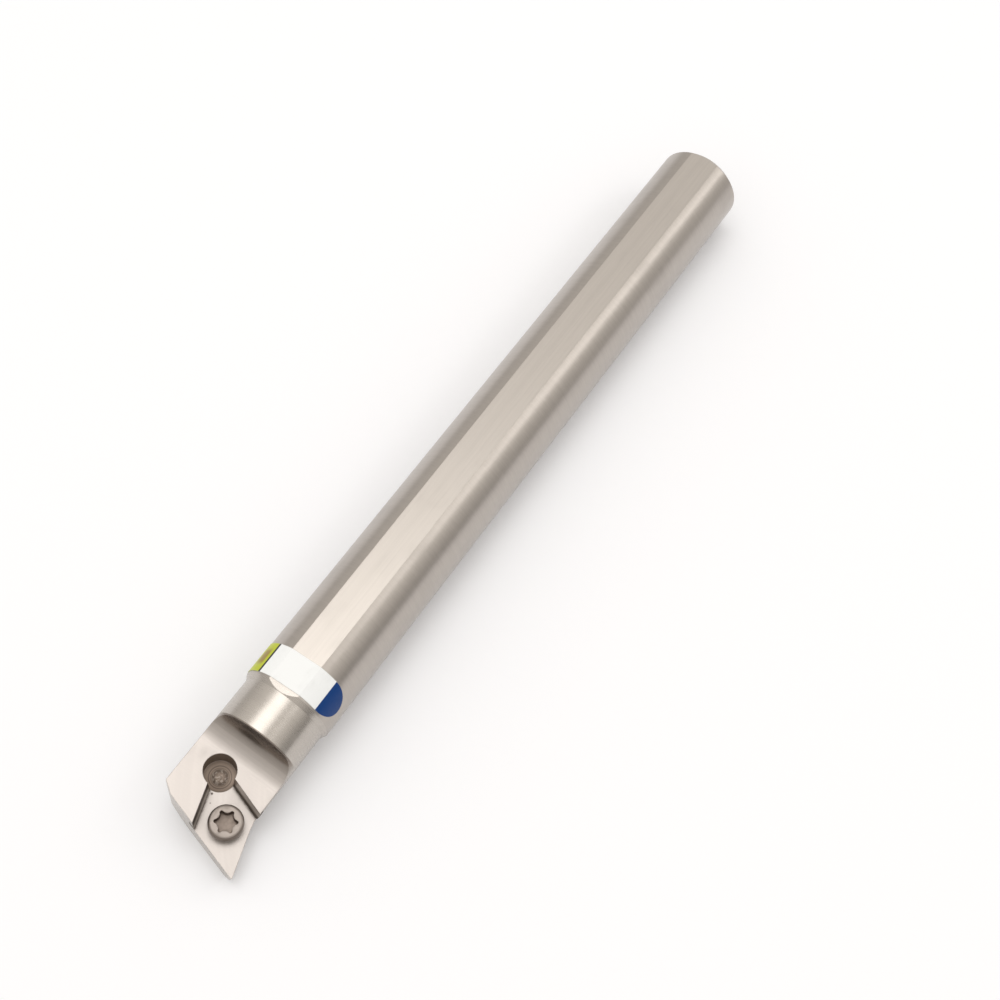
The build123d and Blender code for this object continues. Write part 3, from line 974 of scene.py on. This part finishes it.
class BORINGBAR_OT_label(bpy.types.Operator):
    """Prints the label's fields of colour"""

    bl_idname = "boringbar.label"
    bl_label = "Label"

    def execute(self, context):
        settings = context.scene.boring_bar_label
        material, shading, surface = new_material("label_film")
        place = shading.place()
        x, y, z = shading.separate(place)
        marks = shading.group("smudges", Place=place, Size=3.0)

        # Fields of colour, by the angle round from the top. Their borders are a little ragged.
        turn = shading.math("MULTIPLY_ADD", marks["Grain"], 0.012, shading.math("ARCTAN2", y, z))
        near = settings.cutting_side_start
        far = -settings.back_side_start
        cutting_side = shading.ramp(turn, near - 0.004, near + 0.008)
        back_side = shading.below(turn, far - 0.05, far - 0.03)
        line = shading.both(
            shading.below(turn, far - 0.008, far + 0.008), shading.ramp(turn, far - 0.062, far - 0.05)
        )
        middle = (LABEL_LOW.x + LABEL_HIGH.x) / 2 / MM
        band = shading.both(
            shading.within(turn, far - 0.40, far - 0.14, 0.05), shading.within(x, middle - 1.5, middle + 1.3, 0.6)
        )
        colour = shading.blend(cutting_side, rgba(settings.field_colour), rgba(settings.cutting_side_colour))
        colour = shading.blend(back_side, colour, rgba(settings.back_side_colour))
        colour = shading.stained(colour, band, 0.75, settings.band_colour)
        colour = shading.blend(line, colour, rgba(settings.line_colour))

        # Handling marks, and dust along the edges.
        smudge_tone = shading.ramp(marks["Smudge"], 0.0, 1.0, 1.0, 0.95)
        grain_tone = shading.ramp(marks["Grain"], 0.3, 0.7, 0.985, 1.0)
        colour = shading.toned(colour, shading.math("MULTIPLY", smudge_tone, grain_tone))
        low, high = LABEL_LOW.x / MM, LABEL_HIGH.x / MM
        edge = shading.either(shading.below(x, low + 0.02, low + 0.10), shading.ramp(x, high - 0.10, high - 0.02))
        colour = shading.stained(colour, edge, settings.edge_dust, settings.edge_colour)
        shading.feed(surface.inputs["Base Color"], colour)
        surface.inputs["Specular IOR Level"].default_value = 0.25
        shading.feed(surface.inputs["Roughness"], shading.math("MULTIPLY_ADD", marks["Smudge"], 0.15, 0.32))
        ripple = shading.noise(shading.stretched(place, 1.0, 0.5, 0.5), 1.1, 2.0)
        shading.bump(surface, shading.math("MULTIPLY_ADD", marks["Grain"], 0.04, ripple), settings.film_ripple)
        dress("label", material)
        return {"FINISHED"}


# ---------------------------------------------------------------- panel and registration


class BORINGBAR_PT_panel(bpy.types.Panel):
    """Lists the boring bar's operators and settings"""

    bl_idname = "BORINGBAR_PT_panel"
    bl_label = "Boring Bar"
    bl_space_type = "VIEW_3D"
    bl_region_type = "UI"
    bl_category = "Boring Bar"

    def draw(self, context):
        for title, operator, settings in PIECES:
            box = self.layout.box()
            box.operator(operator, text=title)
            group = getattr(context.scene, settings)
            for name in group.bl_rna.properties.keys():
                if name not in ("rna_type", "name"):
                    box.prop(group, name)


PIECES = (
    ("Stage", "boringbar.stage", "boring_bar_stage"),
    ("Bar", "boringbar.bar", "boring_bar_steel"),
    ("Clamp screw", "boringbar.screw", "boring_bar_screw"),
    ("Label", "boringbar.label", "boring_bar_label"),
)
SETTINGS = {
    "boring_bar_stage": BoringBarStageSettings,
    "boring_bar_steel": BoringBarSteelSettings,
    "boring_bar_screw": BoringBarScrewSettings,
    "boring_bar_label": BoringBarLabelSettings,
}
OPERATORS = (BORINGBAR_OT_stage, BORINGBAR_OT_bar, BORINGBAR_OT_screw, BORINGBAR_OT_label)


def register():
    for group in SETTINGS.values():
        bpy.utils.register_class(group)
    for name, group in SETTINGS.items():
        setattr(bpy.types.Scene, name, PointerProperty(type=group))
    for operator in OPERATORS:
        bpy.utils.register_class(operator)
    bpy.utils.register_class(BORINGBAR_PT_panel)


def unregister():
    bpy.utils.unregister_class(BORINGBAR_PT_panel)
    for operator in reversed(OPERATORS):
        bpy.utils.unregister_class(operator)
    for name in SETTINGS:
        delattr(bpy.types.Scene, name)
    for group in SETTINGS.values():
        bpy.utils.unregister_class(group)


def main():
    register()
    bpy.ops.boringbar.stage()
    bpy.ops.boringbar.bar()
    bpy.ops.boringbar.screw()
    bpy.ops.boringbar.label()
    bpy.context.view_layer.update()


if __name__ == "__main__":
    main()
